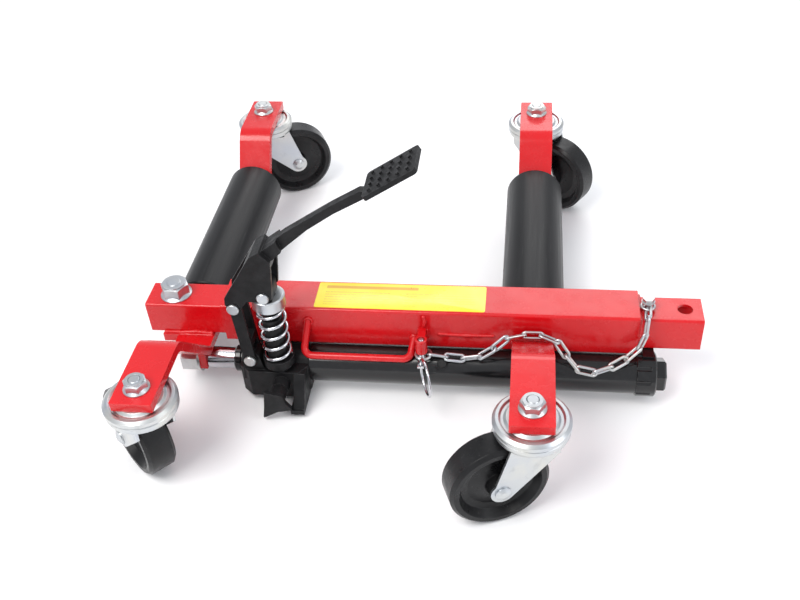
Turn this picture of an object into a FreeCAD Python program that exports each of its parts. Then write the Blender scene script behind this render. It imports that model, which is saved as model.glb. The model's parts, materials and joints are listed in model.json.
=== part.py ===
import FreeCAD, Part
import math
import os
import re

import Sketcher

# Hydraulic wheel dolly: a telescopic rail carries two rollers, a pull ram under the
# rail draws the two halves together below a tyre, and four swivel casters carry it.
# X runs along the rail, Y from the ram side to the roller side, Z up from the floor.

V = FreeCAD.Vector
doc = FreeCAD.newDocument("WheelDolly")
dims = doc.addObject("Spreadsheet::Sheet", "Dims")

SIZES = [
    # rail
    ("rail_x", -293), ("rail_y", -90), ("rail_z", 80),
    ("outer_size", 50), ("outer_wall", 4.5), ("outer_start", 89), ("outer_length", 452),
    ("inner_size", 40), ("inner_wall", 3), ("inner_length", 400),
    ("stub_start", 430), ("stub_end", 607), ("stub_hole_x", 589), ("stub_hole_radius", 8),
    # stations along the rail, measured from rail_x
    ("left_x", 53), ("right_x", 430),
    # flat bar brackets
    ("bar_width", 42), ("bar_thickness", 10), ("deck_top", 131.5),
    ("front_left_y", -181), ("front_right_y", -185), ("rear_y", 364),
    ("bar_overhang", 22), ("front_bend_y", -112), ("deck_bend", 14), ("foot_bend", 6),
    ("left_foot_y", -42), ("right_foot_z", 70),
    ("rear_foot_y", 276), ("rear_foot_z", 81.3), ("rear_bend_y", 308.8),
    # rollers
    ("roller_z", 65), ("roller_radius", 35.2), ("roller_wall", 4), ("roller_gap", 2.5),
    ("roller_end", 272), ("shaft_radius", 10), ("bush_length", 22), ("running_gap", 0.05),
    # casters
    ("wheel_radius", 50), ("wheel_width", 31), ("trail", 35), ("axle_radius", 5),
    ("cup_radius", 37), ("cup_height", 8.5), ("crown_top", 112.6), ("crown_thickness", 3.6),
    ("fork_gap", 37), ("fork_plate", 2.8), ("bolt_radius", 6),
    # hanger under the sliding tube
    ("hanger_left", 14), ("hanger_right", 74), ("hanger_thickness", 10),
    ("anchor_x", 31), ("anchor_radius", 8),
    ("lug_left", 58), ("lug_right", 66),
    # ram
    ("ram_y", -30), ("ram_z", 33), ("ram_radius", 22), ("ram_bore", 18.5),
    ("ram_left", 186), ("ram_right", 550), ("rod_radius", 12.5), ("rod_left", 34),
    ("piston_left", 500), ("piston_right", 524),
    ("collar_left", 541), ("collar_right", 562), ("collar_radius", 24.5), ("plug_right", 573),
    ("gland_left", 98), ("gland_radius", 15),
    # pump
    ("pump_left", 109), ("pump_front", -64), ("pump_back", -8), ("pump_bottom", 9),
    ("plunger_x", 155), ("plunger_y", -52), ("plunger_radius", 8.5), ("plunger_foot", 50),
    ("barrel_radius", 11.3), ("barrel_top", 117), ("spring_seat", 62), ("spring_top", 144),
    ("spring_radius", 14), ("spring_wire", 2), ("spring_turns", 6.5),
    ("plunger_pin_z", 155), ("pedal_pin_radius", 4),
    ("link_top_x", 121), ("link_top_z", 139), ("link_foot_x", 126), ("link_foot_z", 62),
    ("link_inside", 8.4), ("link_plate", 4), ("lever_inside", 12.8), ("lever_plate", 4),
    # release valve
    ("valve_x", 157), ("valve_z", 30), ("valve_front", -76),
    # carry handle
    ("handle_left", 181), ("handle_right", 299), ("handle_radius", 4), ("handle_y", -46),
    ("handle_bottom", 56), ("handle_top", 86), ("handle_end", 68), ("handle_bend", 9),
    # lock pin
    ("pin_x", 312), ("pin_y", -44), ("pin_radius", 4), ("socket_radius", 6.5),
    ("socket_bottom", 66.5), ("socket_top", 84), ("tab_reach", 12),
    ("ring_radius", 20), ("ring_wire", 1.5), ("ring_turn", 20),
    # chain
    ("chain_x", 550), ("link_length", 25), ("link_width", 10.4), ("link_wire", 1.6),
    ("bolt_eye", 6.6), ("pin_eye", 8.2), ("eye_slack", 1.8),
]

for row, (alias, size) in enumerate(SIZES, start=1):
    dims.set(f"A{row}", alias)
    dims.set(f"B{row}", str(size))
    dims.setAlias(f"B{row}", alias)
doc.recompute()

ALIASES = re.compile(r"\b(" + "|".join(alias for alias, size in SIZES) + r")\b")


def formula(text):
    """Point every size name in a formula at the spreadsheet."""
    return ALIASES.sub(r"Dims.\1", str(text))


def number(text):
    """The present value of a formula."""
    return float(dims.evalExpression(formula(text)))


def bind(item, prop, text):
    item.setExpression(prop, formula(text))


def place(item, x="0", y="0", z="0", axis=(0, 0, 1), angle=0.0):
    """Turn a piece about its own origin, then tie its place to the spreadsheet."""
    item.Placement = FreeCAD.Placement(V(0, 0, 0), FreeCAD.Rotation(V(*axis), angle))
    bind(item, "Placement.Base.x", x)
    bind(item, "Placement.Base.y", y)
    bind(item, "Placement.Base.z", z)


def new_body(label):
    body = doc.addObject("PartDesign::Body", "Body")
    body.Label = label
    return body


def sketch(body, plane, offset="0"):
    """A sketch on one of the body's own planes, moved along the plane's normal."""
    item = body.newObject("Sketcher::SketchObject", "Sketch")
    support = [part for part in body.Origin.OriginFeatures if part.Role == plane + "_Plane"][0]
    item.AttachmentSupport = [(support, "")]
    item.MapMode = "FlatFace"
    bind(item, "AttachmentOffset.Base.z", offset)
    return item


def outline(item, corners):
    """A closed outline whose corners are pairs of formulas."""
    spots = [V(number(x), number(y), 0) for x, y in corners]
    first = item.GeometryCount
    count = len(spots)
    for index in range(count):
        item.addGeometry(Part.LineSegment(spots[index], spots[(index + 1) % count]), False)
    for index, (x, y) in enumerate(corners):
        edge = first + index
        item.addConstraint(Sketcher.Constraint("Coincident", edge, 2, first + (index + 1) % count, 1))
        across = item.addConstraint(Sketcher.Constraint("DistanceX", -1, 1, edge, 1, spots[index].x))
        bind(item, f"Constraints[{across}]", x)
        upward = item.addConstraint(Sketcher.Constraint("DistanceY", -1, 1, edge, 1, spots[index].y))
        bind(item, f"Constraints[{upward}]", y)


def rectangle(item, left, low, right, high):
    outline(item, [(left, low), (right, low), (right, high), (left, high)])


def circle(item, x, y, radius):
    centre = V(number(x), number(y), 0)
    edge = item.addGeometry(Part.Circle(centre, V(0, 0, 1), number(radius)), False)
    across = item.addConstraint(Sketcher.Constraint("DistanceX", -1, 1, edge, 3, centre.x))
    bind(item, f"Constraints[{across}]", x)
    upward = item.addConstraint(Sketcher.Constraint("DistanceY", -1, 1, edge, 3, centre.y))
    bind(item, f"Constraints[{upward}]", y)
    size = item.addConstraint(Sketcher.Constraint("Radius", edge, number(radius)))
    bind(item, f"Constraints[{size}]", radius)


def hexagon(item, across_flats):
    """A hexagon about the sketch's origin with a corner on its first axis."""
    corner = f"({across_flats})/sqrt(3)"
    side = f"({across_flats})/2"
    half = f"({across_flats})/sqrt(12)"
    outline(item, [(corner, "0"), (half, side), ("-" + half, side),
                   ("-" + corner, "0"), ("-" + half, "-" + side), (half, "-" + side)])


def pad(body, profile, length, symmetric=False, reverse=False):
    feature = body.newObject("PartDesign::Pad", "Pad")
    feature.Profile = profile
    bind(feature, "Length", length)
    feature.Midplane = symmetric
    feature.Reversed = reverse
    return feature


def pocket(body, profile, length=None, symmetric=True, reverse=False):
    """A pocket of a length, or through the whole piece where none is given."""
    feature = body.newObject("PartDesign::Pocket", "Pocket")
    feature.Profile = profile
    if length is None:
        feature.Type = 1
    else:
        bind(feature, "Length", length)
    feature.Midplane = symmetric
    feature.Reversed = reverse
    return feature


def revolve(body, corners):
    """Turn an outline of radius and height pairs about the body's Z axis."""
    profile = sketch(body, "XZ")
    outline(profile, corners)
    feature = body.newObject("PartDesign::Revolution", "Revolution")
    feature.Profile = profile
    feature.ReferenceAxis = (profile, ["V_Axis"])
    feature.Angle = 360
    return feature


def groove(body, corners):
    """Cut the ring that an outline sweeps about the body's Z axis."""
    profile = sketch(body, "XZ")
    outline(profile, corners)
    feature = body.newObject("PartDesign::Groove", "Groove")
    feature.Profile = profile
    feature.ReferenceAxis = (profile, ["V_Axis"])
    feature.Angle = 360


def lathe(label, corners):
    body = new_body(label)
    revolve(body, corners)
    return body


def edge_names(feature, test):
    doc.recompute()
    return [f"Edge{index}" for index, edge in enumerate(feature.Shape.Edges, start=1) if test(edge)]


def fillet(body, feature, radius, test):
    names = edge_names(feature, test)
    dress = body.newObject("PartDesign::Fillet", "Fillet")
    dress.Base = (feature, names)
    bind(dress, "Radius", radius)
    return dress


def chamfer(body, feature, size, test):
    names = edge_names(feature, test)
    dress = body.newObject("PartDesign::Chamfer", "Chamfer")
    dress.Base = (feature, names)
    bind(dress, "Size", size)
    return dress


def runs_along(edge, axis):
    """True for a straight edge parallel to an axis."""
    if not isinstance(edge.Curve, Part.Line):
        return False
    return abs(abs(edge.Curve.Direction.dot(V(*axis))) - 1) < 1e-6


def shape_piece(label, shape):
    """A piece whose shape is set in code."""
    item = doc.addObject("Part::Feature", "Shape")
    item.Label = label
    item.Shape = shape
    return item


# ---- rail ---------------------------------------------------------------------------------

def square_tube(label, size, wall, length, corner):
    body = new_body(label)
    section = sketch(body, "YZ")
    half = f"({size})/2"
    inside = f"(({size})/2-({wall}))"
    rectangle(section, "-" + half, "-" + half, half, half)
    rectangle(section, "-" + inside, "-" + inside, inside, inside)
    tube = pad(body, section, length)
    limit = number(half) - 0.1
    outer = lambda edge: (runs_along(edge, (1, 0, 0))
                          and abs(edge.CenterOfMass.y) > limit and abs(edge.CenterOfMass.z) > limit)
    fillet(body, tube, corner, outer)
    return body


def drill_down(body, x, radius):
    """A hole straight through a tube's top and bottom walls."""
    mark = sketch(body, "XY")
    circle(mark, x, "0", radius)
    pocket(body, mark)


def outer_tube():
    body = square_tube("outer_tube", "outer_size", "outer_wall", "outer_length", "3")
    place(body, "rail_x+outer_start", "rail_y", "rail_z")


def inner_tube():
    body = square_tube("inner_tube", "inner_size", "inner_wall", "inner_length", "2.5")
    drill_down(body, "anchor_x", "anchor_radius")
    place(body, "rail_x", "rail_y", "rail_z")


def end_stub():
    """The fixed tube in the rail's right end, with a weld collar where it leaves the rail."""
    body = square_tube("end_stub", "inner_size", "inner_wall", "stub_end-stub_start", "2.5")
    seat = sketch(body, "YZ", "outer_start+outer_length-stub_start")
    rectangle(seat, "-inner_size/2-1.4", "-inner_size/2-1.4", "inner_size/2+1.4", "inner_size/2+1.4")
    rectangle(seat, "-inner_size/2+1", "-inner_size/2+1", "inner_size/2-1", "inner_size/2-1")
    weld = pad(body, seat, "3")
    rim = lambda edge: (edge.BoundBox.XLength < 0.01 and abs(edge.CenterOfMass.x - weld_x) < 0.01
                        and max(abs(edge.CenterOfMass.y), abs(edge.CenterOfMass.z)) > rim_limit)
    weld_x = number("outer_start+outer_length-stub_start+3")
    rim_limit = number("inner_size/2+1.4") - 0.1
    chamfer(body, weld, "1", rim)
    drill_down(body, "stub_hole_x-stub_start", "stub_hole_radius")
    drill_down(body, "chain_x-stub_start", "3.1")
    place(body, "rail_x+stub_start", "rail_y", "rail_z")


# ---- brackets -----------------------------------------------------------------------------

def bend_shift(run, rise):
    """How far a bend's inner corner moves back, for a bar of constant thickness."""
    return f"bar_thickness*(sqrt(({run})^2+({rise})^2)-({run}))/({rise})"


def bent_bar(label, corners, caster_y, station):
    """A flat bar bent to an outline in the YZ plane, drilled for its caster bolt."""
    body = new_body(label)
    side = sketch(body, "YZ")
    outline(side, corners)
    bar = pad(body, side, "bar_width", symmetric=True)
    ends = [number(corners[0][0]), number(corners[len(corners) // 2 - 1][0])]
    heights = [number(corner[1]) for corner in corners]
    middle = (max(heights) + min(heights)) / 2

    def bends(edge, upper, outer):
        """The edges of the deck's bend or the foot's, on its outer or inner side."""
        centre = edge.CenterOfMass
        if not runs_along(edge, (1, 0, 0)) or min(abs(centre.y - end) for end in ends) < 1.5:
            return False
        limit = min(abs(centre.z - max(heights)), abs(centre.z - min(heights)))
        return (centre.z > middle) == upper and (limit < 0.01) == outer

    for upper, size in ((True, "deck_bend"), (False, "foot_bend")):
        for outer in (True, False):
            if edge_names(bar, lambda edge: bends(edge, upper, outer)):
                bar = fillet(body, bar, f"{size}+{int(outer)}*bar_thickness",
                             lambda edge: bends(edge, upper, outer))
    tips = lambda edge: runs_along(edge, (0, 0, 1)) and abs(edge.CenterOfMass.y - ends[0]) < 0.5
    fillet(body, bar, "1.5", tips)
    mark = sketch(body, "XY", "deck_top")
    circle(mark, "0", caster_y, "bolt_radius+0.2")
    pocket(body, mark)
    place(body, "rail_x+" + station, "rail_y", "0")


def front_bracket_left():
    """Runs over the tyre side, drops steeply and lies flat under the sliding tube."""
    foot = "rail_z-inner_size/2"
    shift = bend_shift("left_foot_y-front_bend_y", f"deck_top-({foot})")
    corners = [("front_left_y-bar_overhang", "deck_top"), ("front_bend_y", "deck_top"),
               ("left_foot_y", foot), ("-inner_size/2-4", foot),
               ("-inner_size/2-4", f"{foot}-bar_thickness"),
               (f"left_foot_y-({shift})", f"{foot}-bar_thickness"),
               (f"front_bend_y-({shift})", "deck_top-bar_thickness"),
               ("front_left_y-bar_overhang", "deck_top-bar_thickness")]
    bent_bar("front_bracket_left", corners, "front_left_y", "left_x")


def front_bracket_right():
    """Slopes down over the ram to the front face of the outer tube."""
    face = "-outer_size/2"
    run = f"({face})-front_bend_y"
    rise = "deck_top-right_foot_z"
    shift = bend_shift(run, rise)
    drop = f"bar_thickness*sqrt(({run})^2+({rise})^2)/({run})"
    corners = [("front_right_y-bar_overhang", "deck_top"), ("front_bend_y", "deck_top"),
               (face, "right_foot_z"), (face, f"right_foot_z-{drop}"),
               (f"front_bend_y-({shift})", "deck_top-bar_thickness"),
               ("front_right_y-bar_overhang", "deck_top-bar_thickness")]
    bent_bar("front_bracket_right", corners, "front_right_y", "right_x")


def rear_bracket(side, station):
    """Slopes up from the roller shaft's end to the rear caster."""
    run = "rear_bend_y-rear_foot_y"
    rise = "deck_top-rear_foot_z"
    shift = bend_shift(run, rise)
    drop = f"bar_thickness*sqrt(({run})^2+({rise})^2)/({run})"
    corners = [("rear_y+bar_overhang+8", "deck_top"), ("rear_bend_y", "deck_top"),
               ("rear_foot_y", "rear_foot_z"), ("rear_foot_y", f"rear_foot_z-{drop}"),
               (f"rear_bend_y+({shift})", "deck_top-bar_thickness"),
               ("rear_y+bar_overhang+8", "deck_top-bar_thickness")]
    bent_bar("rear_bracket_" + side, corners, "rear_y", station)


# ---- rollers ------------------------------------------------------------------------------

def roller(side, station, root):
    start = f"{root}+roller_gap"
    reach = f"(roller_end-({start}))"
    tube = lathe("roller_" + side, [
        ("roller_radius-roller_wall", "0"), ("roller_radius-1.5", "0"), ("roller_radius", "1.5"),
        ("roller_radius", f"{reach}-1.5"), ("roller_radius-1.5", reach),
        ("roller_radius-roller_wall", reach)])
    place(tube, "rail_x+" + station, "rail_y+" + start, "roller_z", (1, 0, 0), -90)
    bushes = []
    for low in ("1", f"({reach}-bush_length-1)"):
        sleeve = doc.addObject("Part::Cylinder", "Sleeve")
        bind(sleeve, "Radius", "roller_radius-roller_wall")
        bind(sleeve, "Height", "bush_length")
        bore = doc.addObject("Part::Cylinder", "Bore")
        bind(bore, "Radius", "shaft_radius+running_gap")
        bind(bore, "Height", "bush_length")
        bush = doc.addObject("Part::Cut", "Bush")
        bush.Base = sleeve
        bush.Tool = bore
        bind(bush, "Placement.Base.z", low)
        bushes.append(bush)
    pair = doc.addObject("Part::Compound", "Bushes")
    pair.Label = "roller_bushes_" + side
    pair.Links = bushes
    place(pair, "rail_x+" + station, "rail_y+" + start, "roller_z", (1, 0, 0), -90)


def roller_shaft(side, station, root):
    reach = f"(rear_foot_y-({root}))"
    shaft = lathe("roller_shaft_" + side, [
        ("0", "0"), ("shaft_radius", "0"), ("shaft_radius", f"{reach}-2"),
        ("shaft_radius-2", reach), ("0", reach)])
    place(shaft, "rail_x+" + station, f"rail_y+({root})", "roller_z", (1, 0, 0), -90)


# ---- casters ------------------------------------------------------------------------------

def caster_cups(side, station, front_y):
    """The fixed pressed cups above both swivels of one side."""
    cups = []
    for seat_y in (front_y, "rear_y"):
        cup = lathe("cup_blank", [
            ("bolt_radius+0.2", "cup_height"), ("24", "cup_height"), ("26.5", "cup_height-2.6"),
            ("29", "cup_height-2.6"), ("31", "cup_height-1.2"), ("34", "cup_height-1.2"),
            ("cup_radius", "cup_height-4"), ("cup_radius", "0.6"), ("cup_radius-1", "0"),
            ("bolt_radius+0.2", "0")])
        place(cup, "0", seat_y, "0")
        cups.append(cup)
    pair = doc.addObject("Part::Compound", "Cups")
    pair.Label = "caster_cups_" + side
    pair.Links = cups
    place(pair, "rail_x+" + station, "rail_y", "deck_top-bar_thickness-cup_height")


def caster_bolts(side, station, front_y):
    """Both swivel bolts of one side: a hexagon head inside each fork and a plain shank."""
    bolts = []
    for seat_y in (front_y, "rear_y"):
        bolt = new_body("bolt_blank")
        head = sketch(bolt, "XY")
        hexagon(head, "18")
        pad(bolt, head, "7")
        revolve(bolt, [("0", "6.5"), ("12.5", "6.5"), ("12.5", "8.5"), ("bolt_radius", "8.5"),
                       ("bolt_radius", "42.6"), ("bolt_radius-1.2", "43.7"), ("0", "43.7")])
        place(bolt, "0", seat_y, "0")
        bolts.append(bolt)
    pair = doc.addObject("Part::Compound", "Bolts")
    pair.Label = "caster_bolts_" + side
    pair.Links = bolts
    place(pair, "rail_x+" + station, "rail_y", "crown_top-crown_thickness-8.8")


def flange_nut(across_flats, flange_radius, height, bore):
    """A flanged hexagon nut standing on its own origin."""
    nut = new_body("nut_blank")
    top = sketch(nut, "XY")
    hexagon(top, across_flats)
    pad(nut, top, height)
    corner = f"({across_flats})/sqrt(3)+0.5"
    groove(nut, [(f"({across_flats})/2-0.2", height), (corner, f"({height})-1.8"), (corner, height)])
    revolve(nut, [(bore, "0"), (flange_radius, "0"), (flange_radius, "1.4"),
                  (f"({across_flats})/2", "4.2"), (bore, "4.2")])
    crown = sketch(nut, "XY", f"({height})-1.6")
    circle(crown, "0", "0", f"({across_flats})/2-1")
    pad(nut, crown, "3.2")
    hole = sketch(nut, "XY")
    circle(hole, "0", "0", bore)
    pocket(nut, hole)
    return nut


def caster_nuts(side, station, front_y):
    nuts = []
    for seat_y in (front_y, "rear_y"):
        nut = flange_nut("21", "13.3", "10.5", "bolt_radius+0.05")
        place(nut, "0", seat_y, "0")
        nuts.append(nut)
    pair = doc.addObject("Part::Compound", "Nuts")
    pair.Label = "caster_nuts_" + side
    pair.Links = nuts
    place(pair, "rail_x+" + station, "rail_y", "deck_top")


def caster_fork(name, station, seat_y, heading):
    """A pressed fork: a round crown with a skirt and two tapered legs."""
    body = new_body("fork_" + name)
    side = sketch(body, "XZ")
    outline(side, [("-23", "crown_top-2"), ("-21", "88"), ("trail-8", "wheel_radius-9"),
                   ("trail+8", "wheel_radius-9"), ("trail+11", "wheel_radius-2"),
                   ("26", "crown_top-2")])
    pad(body, side, "fork_gap+2*fork_plate", symmetric=True)
    eye = sketch(body, "XZ")
    circle(eye, "trail", "wheel_radius", "12")
    pad(body, eye, "fork_gap+2*fork_plate", symmetric=True)
    inside = sketch(body, "XZ")
    rectangle(inside, "-60", "-5", "90", "crown_top-crown_thickness")
    pocket(body, inside, "fork_gap")
    revolve(body, [("0", "crown_top-crown_thickness"), ("30", "crown_top-crown_thickness"),
                   ("32", "crown_top-7.5"), ("35.5", "crown_top-7.5"), ("cup_radius-0.6", "crown_top-5"),
                   ("cup_radius-0.6", "crown_top-1"), ("cup_radius-1.6", "crown_top"),
                   ("0", "crown_top")])
    king = sketch(body, "XY")
    circle(king, "0", "0", "bolt_radius+running_gap")
    pocket(body, king)
    cross = sketch(body, "XZ")
    circle(cross, "trail", "wheel_radius", "axle_radius")
    pocket(body, cross)
    slot = sketch(body, "XZ")
    rectangle(slot, "13", "98", "20", "100.5")
    pocket(body, slot)
    place(body, "rail_x+" + station, "rail_y+" + seat_y, "0", (0, 0, 1), heading)


def caster_axle(name, station, seat_y, heading):
    """A rivet with a domed head on each outer face of the fork."""
    reach = "(fork_gap/2+fork_plate)"
    rivet = lathe("axle_" + name, [
        ("0", f"-{reach}-4"), ("4", f"-{reach}-3.6"), ("8", f"-{reach}-1.6"), ("8", f"-{reach}"),
        ("axle_radius", f"-{reach}"), ("axle_radius", reach), ("8", reach),
        ("8", f"{reach}+1.6"), ("4", f"{reach}+3.6"), ("0", f"{reach}+4")])
    set_on_fork(rivet, station, seat_y, heading)


def caster_wheel(name, station, seat_y, heading):
    """A hard wheel: raised rims, recessed webs and a long hub."""
    half = "wheel_width/2"
    tyre = lathe("wheel_" + name, [
        ("axle_radius+running_gap", "-fork_gap/2+0.6"), ("12", "-fork_gap/2+0.6"),
        ("13.5", "-8"), ("30", "-5.5"), ("37", "-7"), ("41.5", f"-{half}"),
        ("46.5", f"-{half}"), ("wheel_radius", f"-{half}+3.5"), ("wheel_radius", f"{half}-3.5"),
        ("46.5", half), ("41.5", half), ("37", "7"), ("30", "5.5"), ("13.5", "8"),
        ("12", "fork_gap/2-0.6"), ("axle_radius+running_gap", "fork_gap/2-0.6")])
    set_on_fork(tyre, station, seat_y, heading)


def set_on_fork(piece, station, seat_y, heading):
    """Lay a turned piece across the fork, on its axle."""
    turn = math.radians(heading)
    lay = FreeCAD.Rotation(V(0, 0, 1), heading) * FreeCAD.Rotation(V(1, 0, 0), 90)
    piece.Placement = FreeCAD.Placement(V(0, 0, 0), lay)
    bind(piece, "Placement.Base.x", f"rail_x+{station}+trail*({math.cos(turn)})")
    bind(piece, "Placement.Base.y", f"rail_y+{seat_y}+trail*({math.sin(turn)})")
    bind(piece, "Placement.Base.z", "wheel_radius")


def caster(name, station, seat_y, heading):
    caster_fork(name, station, seat_y, heading)
    caster_axle(name, station, seat_y, heading)
    caster_wheel(name, station, seat_y, heading)


# ---- hanger, rod and ram ------------------------------------------------------------------

def rod_hanger():
    """The plate welded under the sliding tube and the lug that pulls on the piston rod."""
    body = new_body("rod_hanger")
    under = "rail_z-inner_size/2"
    plate = sketch(body, "XY", f"{under}-hanger_thickness")
    rectangle(plate, "hanger_left", "-inner_size/2-4", "hanger_right", "inner_size/2")
    pad(body, plate, "hanger_thickness")
    lug = sketch(body, "YZ", "lug_left")
    outline(lug, [("ram_y-14", "ram_z-6"), ("ram_y+14", "ram_z-6"),
                  ("ram_y+18", f"{under}-hanger_thickness"),
                  ("ram_y-14", f"{under}-hanger_thickness")])
    pad(body, lug, "lug_right-lug_left")
    slot = sketch(body, "YZ")
    circle(slot, "ram_y", "ram_z", "8.2")
    pocket(body, slot)
    throat = sketch(body, "YZ")
    rectangle(throat, "ram_y-8.2", "ram_z-20", "ram_y+8.2", "ram_z")
    pocket(body, throat)
    bolt = sketch(body, "XY", under)
    circle(bolt, "anchor_x", "0", "anchor_radius+0.2")
    pocket(body, bolt)
    place(body, "rail_x", "rail_y", "0")


def anchor_bolt():
    """The large bolt through the tube's left end and its flanged lock nut."""
    head = "rail_z-inner_size/2-hanger_thickness"
    bolt = new_body("anchor_blank")
    hexed = sketch(bolt, "XY", f"{head}-9")
    hexagon(hexed, "24")
    pad(bolt, hexed, "9")
    shank = sketch(bolt, "XY", head)
    circle(shank, "0", "0", "anchor_radius")
    pad(bolt, shank, "inner_size+hanger_thickness+17")
    nut = flange_nut("28", "17.5", "15", "anchor_radius+0.05")
    bind(nut, "Placement.Base.z", "rail_z+inner_size/2")
    pair = doc.addObject("Part::Compound", "Anchor")
    pair.Label = "anchor_bolt"
    pair.Links = [bolt, nut]
    place(pair, "rail_x+anchor_x", "rail_y", "0")


def along_ram(item, x):
    """Point a turned piece along +X on the ram's axis."""
    place(item, "rail_x+" + x, "rail_y+ram_y", "ram_z", (0, 1, 0), 90)


def piston_rod():
    rod = lathe("piston_rod", [
        ("0", "0"), ("6.5", "0"), ("8", "1.5"), ("8", "lug_right-rod_left"),
        ("rod_radius-1", "lug_right-rod_left"), ("rod_radius", "lug_right-rod_left+1"),
        ("rod_radius", "piston_left-rod_left"), ("8", "piston_left-rod_left"),
        ("8", "piston_right-rod_left+6"), ("0", "piston_right-rod_left+6")])
    along_ram(rod, "rod_left")


def ram_piston():
    piston = lathe("ram_piston", [
        ("8", "0"), ("ram_bore-running_gap", "0"), ("ram_bore-running_gap", "7"), ("ram_bore-2", "7"),
        ("ram_bore-2", "12"), ("ram_bore-running_gap", "12"), ("ram_bore-running_gap", "24"), ("8", "24")])
    along_ram(piston, "piston_left")


def rod_nut():
    """The nut and washer that hold the rod to its lug."""
    body = new_body("rod_nut")
    flats = sketch(body, "XY")
    hexagon(flats, "28")
    pad(body, flats, "lug_left-rod_left-5")
    revolve(body, [("8", "lug_left-rod_left-5"), ("16.5", "lug_left-rod_left-5"),
                   ("16.5", "lug_left-rod_left-2"), ("8", "lug_left-rod_left-2")])
    hole = sketch(body, "XY")
    circle(hole, "0", "0", "8")
    pocket(body, hole)
    along_ram(body, "rod_left+2")


def gland_nut():
    gland = lathe("gland_nut", [
        ("rod_radius+running_gap", "0"), ("gland_radius-1.5", "0"), ("gland_radius", "1.5"),
        ("gland_radius", "7"), ("gland_radius-1.2", "8"), ("gland_radius-1.2", "pump_left-gland_left"),
        ("rod_radius+running_gap", "pump_left-gland_left")])
    along_ram(gland, "gland_left")


def ram_cylinder():
    tube = lathe("ram_cylinder", [
        ("ram_bore", "0"), ("ram_radius", "0"), ("ram_radius", "ram_right-ram_left"),
        ("ram_bore", "ram_right-ram_left")])
    along_ram(tube, "ram_left")


def ram_collar():
    """The screwed end cap with milled flats."""
    body = new_body("ram_collar")
    revolve(body, [
        ("ram_radius+0.02", "0"), ("collar_radius-1", "0"), ("collar_radius", "1"),
        ("collar_radius", "collar_right-collar_left-1.5"),
        ("collar_radius-1.5", "collar_right-collar_left"), ("0", "collar_right-collar_left"),
        ("0", "ram_right-collar_left"), ("ram_radius+0.02", "ram_right-collar_left")])
    groove = sketch(body, "XY")
    teeth = 10
    for index in range(teeth):
        turn = math.tau * index / teeth
        circle(groove, f"(collar_radius+1.4)*({math.cos(turn)})",
               f"(collar_radius+1.4)*({math.sin(turn)})", "3")
    pocket(body, groove, "2*(collar_right-collar_left-6)")
    along_ram(body, "collar_left")


def ram_end_plug():
    body = new_body("ram_end_plug")
    flats = sketch(body, "XY")
    hexagon(flats, "32")
    hexed = pad(body, flats, "plug_right-collar_right")
    outer = number("plug_right-collar_right")
    chamfer(body, hexed, "2", lambda edge: abs(edge.BoundBox.ZMin - outer) < 0.01)
    along_ram(body, "collar_right")


def ram_lug():
    """The saddle between the ram's collar and the end stub."""
    block = doc.addObject("Part::Box", "LugBlock")
    bind(block, "Length", "12")
    bind(block, "Width", "20")
    bind(block, "Height", "18")
    place(block, "rail_x+547", "rail_y+ram_y-3", "rail_z-inner_size/2-18")
    round_seat = doc.addObject("Part::Cylinder", "LugSeat")
    bind(round_seat, "Radius", "collar_radius")
    bind(round_seat, "Height", "60")
    along_ram(round_seat, "520")
    saddle = doc.addObject("Part::Cut", "Saddle")
    saddle.Label = "ram_lug"
    saddle.Base = block
    saddle.Tool = round_seat


def filler_plug():
    plug = lathe("filler_plug", [("0", "0"), ("3.5", "0"), ("3.5", "1.5"), ("5.5", "1.5"),
                                 ("5.5", "4"), ("4.5", "5"), ("0", "5")])
    lean = 42
    turn = math.radians(lean)
    plug.Placement = FreeCAD.Placement(V(0, 0, 0), FreeCAD.Rotation(V(1, 0, 0), lean))
    bind(plug, "Placement.Base.x", "rail_x+334")
    bind(plug, "Placement.Base.y", f"rail_y+ram_y-(ram_radius+0.05)*({math.sin(turn)})")
    bind(plug, "Placement.Base.z", f"ram_z+(ram_radius+0.05)*({math.cos(turn)})")


# ---- pump ---------------------------------------------------------------------------------

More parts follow.
